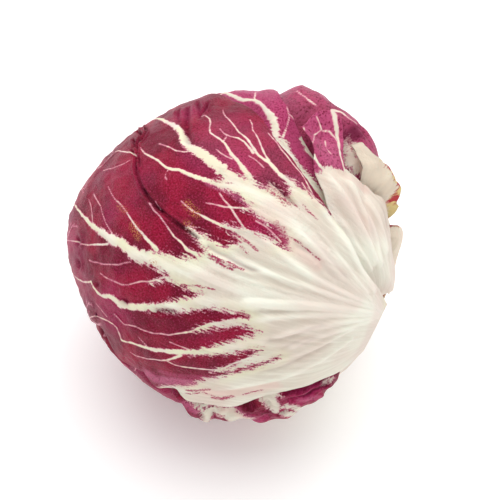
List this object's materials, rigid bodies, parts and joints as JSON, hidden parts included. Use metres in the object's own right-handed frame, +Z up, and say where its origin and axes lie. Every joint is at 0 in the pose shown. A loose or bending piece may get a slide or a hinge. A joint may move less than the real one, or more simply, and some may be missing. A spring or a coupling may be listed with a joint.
{
  "type": "head of radicchio",
  "caption": "Round head of red radicchio lying on its side: large overlapping wrapper leaves with pale fanned ribs round a dense heart and a short cut stem.",
  "frame": {"origin": "middle of the bounding box in plan, on the surface that the head lies on", "axes": "+Z up; the head's axis lies near X, with the cut stem towards +X and tipped a little down; -Y is the side of the large front leaf"},
  "size_m": [0.1156, 0.1136, 0.1107],
  "materials": {
    "stem": "matt, damp cut plant tissue, browned at its edge",
    "heart": "satin, dense crimson leaves",
    "leaf": "satin, waxy crimson blade with cream-white ribs and veins",
    "leaf_base": "satin, fleshy cream-white leaf base"
  },
  "bodies": {
    "root": {"stem": "stem", "heart": "heart", "leaf_rear": "leaf", "leaf_back": "leaf", "leaf_under": "leaf", "leaf_wing": "leaf", "leaf_cream": "leaf_base", "leaf_skirt": "leaf", "leaf_top": "leaf", "leaf_crown": "leaf", "leaf_front": "leaf"}
  },
  "joints": []
}
